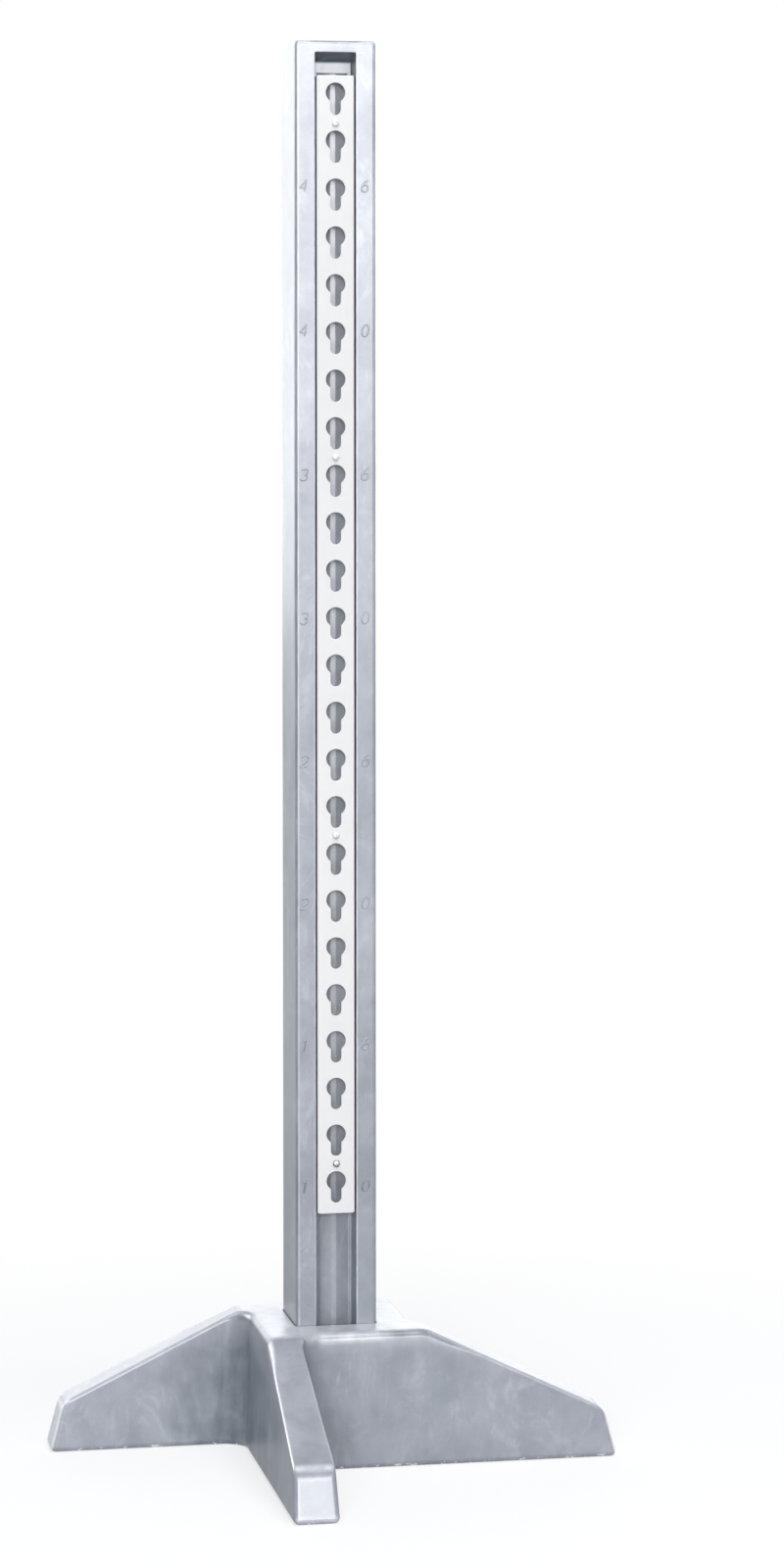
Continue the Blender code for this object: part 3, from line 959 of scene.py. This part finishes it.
def trackGrime(place):
    # Painted shade in the gap along both sides, and the upper part is a little greyer
    outside = smoothStep((abs(place.x) - trackHigh.x + 0.0006) / 0.0005)
    gap = track["sideShade"] * outside * smoothStep((place.y - trackLow.y - 0.0016) / 0.001)
    return max(gap, track["upperGreying"] * smoothStep((place.z - track["upperFrom"]) / track["upperRise"]))


def buildTrack():
    length = (trackHigh.z - trackLow.z - track["count"] * track["pitch"]) / 2
    highest = trackHigh.z - length
    above = highest - track["firstHole"] - (track["count"] - 1) * track["pitch"]
    bay = objectFrom(buildBay(track["pitch"] - above, above), "track_bay")
    item = objectFrom(buildEnds(trackLow.z + length, highest, length), "track_strip")
    growTree(item, "Keyhole track", makeRow, {
        "Bay": bay, "Count": track["count"], "Pitch": track["pitch"], "First hole": track["firstHole"],
        "Weld": track["weldGap"], "Finish": whitePlastic})
    makePlain(item)
    bpy.data.objects.remove(bay)
    changeMesh(item.data, lambda bm: bmesh.ops.recalc_face_normals(bm, faces=bm.faces))
    return addWear(shadeSoft(item), grime=trackGrime)


trackStrip = buildTrack()
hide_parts("track")
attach(trackStrip, "upright")
print("track made,", len(trackStrip.data.polygons), "faces")


# Screws: one pan head with a cross recess, set in four of the webs by a node tree

screw = {
    "count": 4,
    "lastBay": 22,
    "headRadius": 0.0038,
    "headHeight": 0.0024,
    "edgeHeight": 0.0007,
    "shankRadius": 0.0021,
    "length": 0.0265,
    "point": 0.004,
    "recessRadius": 0.0021,
    "recessWidth": 0.00075,
    "recessDepth": 0.0015,
    # Painted shade round the rim of the lowest head
    "ringGrime": 0.85,
    "upperWear": 0.9,
    "seed": 5,
}


def buildScrew():
    # Made upright on +Z, with the head's underside at zero
    bm = bmesh.new()
    shank, head, edge = screw["shankRadius"], screw["headRadius"], screw["edgeHeight"]
    profile = [(shank * 0.02, -screw["length"]), (shank, screw["point"] - screw["length"]), (shank, 0.0),
               (head * 0.96, 0.0), (head, 0.00012)]
    for step in range(15):
        angle = pi / 2 * step / 15
        profile.append((head * cos(angle), edge + (screw["headHeight"] - edge) * sin(angle)))
    rings = [addRing(bm, circleRing(radius, steps=64), height) for radius, height in profile]
    joinRings(bm, *rings)
    bm.faces.new(rings[0])
    bm.faces.new(rings[-1])
    for vert in bm.verts:
        x, y, z = vert.co
        if z > edge:
            across, along = min(abs(x), abs(y)), max(abs(x), abs(y))
            inArm = 1 - smoothStep((across - screw["recessWidth"] / 2) / 0.00016)
            inReach = 1 - smoothStep((along - screw["recessRadius"] * 0.8) / (screw["recessRadius"] * 0.25))
            vert.co.z -= screw["recessDepth"] * inArm * inReach
    return bm


def placeScrews(tree, given):
    points = outOf(tree, "GeometryNodeMeshLine", {"Count": given["Count"]})
    last = mathOf(tree, "SUBTRACT", given["Count"], 1.0)
    share = mathOf(tree, "DIVIDE", outOf(tree, "GeometryNodeInputIndex"), last)
    bay = mathOf(tree, "ROUND", mathOf(tree, "MULTIPLY", share, given["Last bay"]))
    height = mathOf(tree, "MULTIPLY_ADD", bay, given["Pitch"], given["First web"])
    placed = outOf(tree, "GeometryNodeSetPosition", {
        "Geometry": points, "Position": vectorOf(tree, Y=given["Front"], Z=height)})
    spin = addNode(tree, "FunctionNodeRandomValue", {
        "Min": 0.0, "Max": tau, "Seed": given["Seed"]}, data_type="FLOAT")
    facing = outOf(tree, "FunctionNodeRotateEuler", {
        "Rotation": vectorOf(tree, X=pi / 2), "Rotate By": vectorOf(tree, Z=spin.outputs[1])},
        rotation_type="EULER", space="LOCAL")
    body = addNode(tree, "GeometryNodeObjectInfo", {"Object": given["Screw"]}).outputs["Geometry"]
    row = outOf(tree, "GeometryNodeInstanceOnPoints", {
        "Points": placed, "Instance": body, "Rotation": facing})
    return outOf(tree, "GeometryNodeRealizeInstances", {"Geometry": row})


def buildScrews():
    single = objectFrom(buildScrew(), "screw_single")
    item = newObject("track_screws", bpy.data.meshes.new("track_screws"))
    low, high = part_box("track_screw_1")
    boxes = [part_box(f"track_screw_{number}") for number in range(1, screw["count"] + 1)]
    heights = sorted((bottom.z + top.z) / 2 for bottom, top in boxes)
    split = (heights[0] + heights[1]) / 2
    growTree(item, "Track screws", placeScrews, {
        "Screw": single, "Count": screw["count"], "Last bay": float(screw["lastBay"]), "Pitch": track["pitch"],
        "First web": heights[0], "Front": low.y + screw["headHeight"], "Seed": screw["seed"],
        "Finish": zincSteel})
    makePlain(item)
    bpy.data.objects.remove(single)

    def ringGrime(place):
        # Painted shade round the rim of the lowest head only
        out = hypot(place.x - (low.x + high.x) / 2, place.z - heights[0])
        return 0.0 if place.z > split else screw["ringGrime"] * smoothStep((out - 0.0025) / 0.0006)

    def headWear(place):
        return screw["upperWear"] if place.z > split else 0.0

    return addWear(shadeSoft(item, 50), grime=ringGrime, worn=headWear)


trackScrews = buildScrews()
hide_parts(*[f"track_screw_{number}" for number in range(1, screw["count"] + 1)])
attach(trackScrews, "upright")
print("screws made,", len(trackScrews.data.polygons), "faces")


# Height marks: raised numerals beside the track, feet on the left and inches on the right

marks = {
    "height": 0.0133,
    "slant": 0.18,
    "strokeWidth": 0.0023,
    "strokeRise": 0.0009,
    "strokeStep": 0.0006,
    "sunk": 0.0005,
    "grime": 0.42,
    "aboveHole": 0.004,
    "feetX": -0.0345,
    "inchesX": 0.032,
    "inch": 0.0256,
    "lowest": 12,
    "highest": 54,
    "every": 6,
    "holeOfLowest": 0.2947,
}


def arcPoints(x, y, radiusX, radiusY, start, end, steps=18):
    turns = [radians(start + (end - start) * step / steps) for step in range(steps + 1)]
    return [(x + radiusX * cos(turn), y + radiusY * sin(turn)) for turn in turns]


# One stroke each, in a box one high and 0.62 wide, centred on zero
numerals = {
    0: arcPoints(0, 0, 0.27, 0.46, 90, 450, 32),
    1: [(-0.14, 0.3), (0.0, 0.46), (0.0, 0.0), (0.0, -0.46)],
    2: arcPoints(0, 0.2, 0.27, 0.26, 165, -35) + [(-0.28, -0.44), (0.29, -0.44)],
    3: arcPoints(0, 0.225, 0.25, 0.235, 160, -85) + arcPoints(0, -0.215, 0.28, 0.245, 88, -160),
    4: [(0.12, -0.46), (0.12, 0.46), (-0.29, -0.16), (0.3, -0.16)],
    6: arcPoints(0.24, -0.17, 0.5, 0.63, 96, 180) + arcPoints(0, -0.18, 0.26, 0.27, 180, 540, 28),
}


def markCurves():
    # Every numeral is made flat, in x and y, where its height runs along y
    curve = bpy.data.curves.new("marks", "CURVE")
    curve.dimensions = "3D"
    for inches in range(marks["lowest"], marks["highest"] + 1, marks["every"]):
        middle = marks["holeOfLowest"] + marks["inch"] * (inches - marks["lowest"]) + marks["aboveHole"]
        for numeral, x in ((inches // 12, marks["feetX"]), (inches % 12, marks["inchesX"])):
            spline = curve.splines.new("POLY")
            spline.points.add(len(numerals[numeral]) - 1)
            for point, (across, up) in zip(spline.points, numerals[numeral]):
                across += up * marks["slant"]
                point.co = (x + across * marks["height"], middle + up * marks["height"], 0.0, 1.0)
    return curve


def sweepStrokes(tree, given):
    stroke = outOf(tree, "GeometryNodeResampleCurve", {
        "Curve": given["Geometry"], "Length": given["Stroke step"]}, mode="LENGTH")
    share = addNode(tree, "GeometryNodeSplineParameter").outputs["Factor"]
    ends = addNode(tree, "ShaderNodeFloatCurve", {"Value": share})
    points = ends.mapping.curves[0].points
    points[0].location, points[1].location = (0.0, 0.45), (1.0, 0.45)
    for x in (0.12, 0.88):
        points.new(x, 1.0)
    ends.mapping.update()
    half = mathOf(tree, "MULTIPLY", given["Stroke width"], 0.5)
    wide = outOf(tree, "GeometryNodeCurvePrimitiveCircle", {"Resolution": 16, "Radius": half})
    flat = mathOf(tree, "DIVIDE", given["Stroke rise"], half)
    lens = outOf(tree, "GeometryNodeTransform", {
        "Geometry": wide, "Scale": vectorOf(tree, X=1.0, Y=flat, Z=1.0)})
    swept = outOf(tree, "GeometryNodeCurveToMesh", {
        "Curve": stroke, "Profile Curve": lens, "Scale": ends.outputs[0], "Fill Caps": True})
    stood = outOf(tree, "GeometryNodeTransform", {
        "Geometry": swept, "Rotation": given["Turn"], "Translation": given["Place"]})
    return outOf(tree, "GeometryNodeRealizeInstances", {"Geometry": stood})


def buildMarks():
    line = newObject("height_marks_line", markCurves())
    growTree(line, "Raised strokes", sweepStrokes, {
        "Stroke width": marks["strokeWidth"], "Stroke rise": marks["strokeRise"],
        "Stroke step": marks["strokeStep"], "Turn": (pi / 2, 0.0, 0.0),
        "Place": (0.0, -postHalf + marks["sunk"], 0.0), "Finish": greyPlastic})
    item = newObject("height_marks", evaluatedMesh(line, "height_marks"))
    bpy.data.objects.remove(line)
    changeMesh(item.data, lambda bm: weld(bm, 0.000002))
    return addWear(shadeSoft(item, 70), grime=lambda place: marks["grime"])


heightMarks = buildMarks()
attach(heightMarks, "upright")
print("height marks made,", len(heightMarks.data.polygons), "faces")


# Stage, lights and camera

stage = {
    "floorSize": 60.0,
    "floorTone": (0.6, 0.6, 0.6),
    "shownTone": (0.95, 0.95, 0.96),
    "shownShare": 0.42,
    "shownReach": (0.45, 1.1),
    "glossTint": (0.92, 0.965, 1.0),
    "glossTones": (0.6, 1.0),
    "glossReach": (0.3, 3.0),
    "fillTone": (0.36, 0.375, 0.41),
    "cameraPlace": (-0.785773, -4.494360, 1.164978),
    "cameraYaw": 10.7755,
    "cameraPitch": 3.2372,
    "sensorWidth": 36.0,
    "focalPixels": 4310.65,
    "opticalRow": 634,
    "frameHeight": 1600,
}


def buildFloor():
    size = stage["floorSize"]
    corners = [(x * size, y * size, 0.0) for x, y in ((-1, -1), (1, -1), (1, 1), (-1, 1))]
    mesh = bpy.data.meshes.new("floor")
    mesh.from_pydata(corners, [], [(0, 1, 2, 3)])
    material, tree, shader = newShader("Pale floor")
    setInputs(tree, shader, {
        "Base Color": asColour(stage["floorTone"]), "Roughness": 0.9, "Specular IOR Level": 0.1})
    path = addNode(tree, "ShaderNodeLightPath").outputs
    far = addNode(tree, "ShaderNodeVectorMath", {0: objectPlace(tree)}, operation="LENGTH").outputs["Value"]

    # The camera sees the shadow near the object and plain white further out
    white = outOf(tree, "ShaderNodeEmission", {"Color": (1, 1, 1, 1), "Strength": 1.0})
    pale = outOf(tree, "ShaderNodeBsdfDiffuse", {"Color": asColour(stage["shownTone"])})
    keep = remap(tree, far, stage["shownShare"], 0.0, *stage["shownReach"])
    shown = outOf(tree, "ShaderNodeMixShader", {0: keep, 1: white, 2: pale})
    tone = remap(tree, far, *stage["glossTones"], *stage["glossReach"])
    gleam = outOf(tree, "ShaderNodeEmission", {"Color": asColour(stage["glossTint"]), "Strength": tone})
    mixed = outOf(tree, "ShaderNodeMixShader", {0: path["Is Camera Ray"], 1: shader.outputs[0], 2: shown})
    mirrored = mathOf(tree, "MAXIMUM", path["Is Glossy Ray"], path["Is Transmission Ray"])
    mixed = outOf(tree, "ShaderNodeMixShader", {0: mirrored, 1: mixed, 2: gleam})
    tree.links.new(mixed, tree.nodes["Material Output"].inputs["Surface"])
    floor = newObject("floor", mesh, material)


def buildWorld():
    world = bpy.data.worlds.new("Studio")
    bpy.context.scene.world = world
    world.use_nodes = True
    tree = world.node_tree
    path = addNode(tree, "ShaderNodeLightPath").outputs
    seen = mathOf(tree, "MAXIMUM", path["Is Camera Ray"], path["Is Glossy Ray"])
    seen = mathOf(tree, "MAXIMUM", seen, path["Is Transmission Ray"])
    fill = tree.nodes["Background"]
    fill.inputs["Color"].default_value = asColour(stage["fillTone"])
    white = outOf(tree, "ShaderNodeBackground", {"Color": (1, 1, 1, 1), "Strength": 1.0})
    mixed = outOf(tree, "ShaderNodeMixShader", {0: seen, 1: fill.outputs[0], 2: white})
    tree.links.new(mixed, tree.nodes["World Output"].inputs["Surface"])


def addLamp(name, place, aim, width, height, power, onlyGloss=False, tint=(1.0, 1.0, 1.0)):
    # Aimed at a height on the object's middle line
    data = bpy.data.lights.new(name, "AREA")
    data.shape = "RECTANGLE"
    data.size, data.size_y, data.energy, data.color = width, height, power, tint
    lamp = newObject(name, data)
    lamp.location = place
    lamp.rotation_euler = (Vector((0, 0, aim)) - Vector(place)).to_track_quat("-Z", "Y").to_euler()
    lamp.visible_camera = False
    lamp.visible_diffuse = not onlyGloss


def buildCamera():
    data = bpy.data.cameras.new("Camera")
    data.sensor_width = stage["sensorWidth"]
    data.lens = stage["sensorWidth"] * stage["focalPixels"] / stage["frameHeight"]
    data.shift_y = stage["opticalRow"] / stage["frameHeight"] - 0.5
    data.clip_end = 200.0
    camera = newObject("Camera", data)
    camera.location = stage["cameraPlace"]
    camera.rotation_euler = (radians(90 - stage["cameraPitch"]), 0, radians(-stage["cameraYaw"]))
    bpy.context.scene.camera = camera


buildFloor()
buildWorld()
addLamp("Key box", (-2.15, -7.8, 2.35), 0.8, 3.2, 2.6, 420)
addLamp("Front glow", (1.5, -8.3, 3.4), 0.8, 4.4, 4.2, 560, True)
addLamp("Overhead box", (0.2, -0.9, 3.3), 0.1, 1.8, 1.8, 57)
addLamp("Back box", (-1.4, 6.6, 2.3), 1.3, 3.6, 3.6, 84, tint=(0.93, 0.97, 1.0))
addLamp("Back box right", (2.2, 6.6, 1.8), 0.8, 3.6, 3.6, 84, tint=(0.93, 0.97, 1.0))
addLamp("Left rim glow", (-4.3, 3.1, 3.0), 0.1, 3.4, 3.4, 320, True)
addLamp("Right rim glow", (5.0, 4.9, 1.7), 0.1, 3.2, 2.6, 100, True)
buildCamera()
bpy.context.scene.view_settings.view_transform = "Standard"

print("stage made")
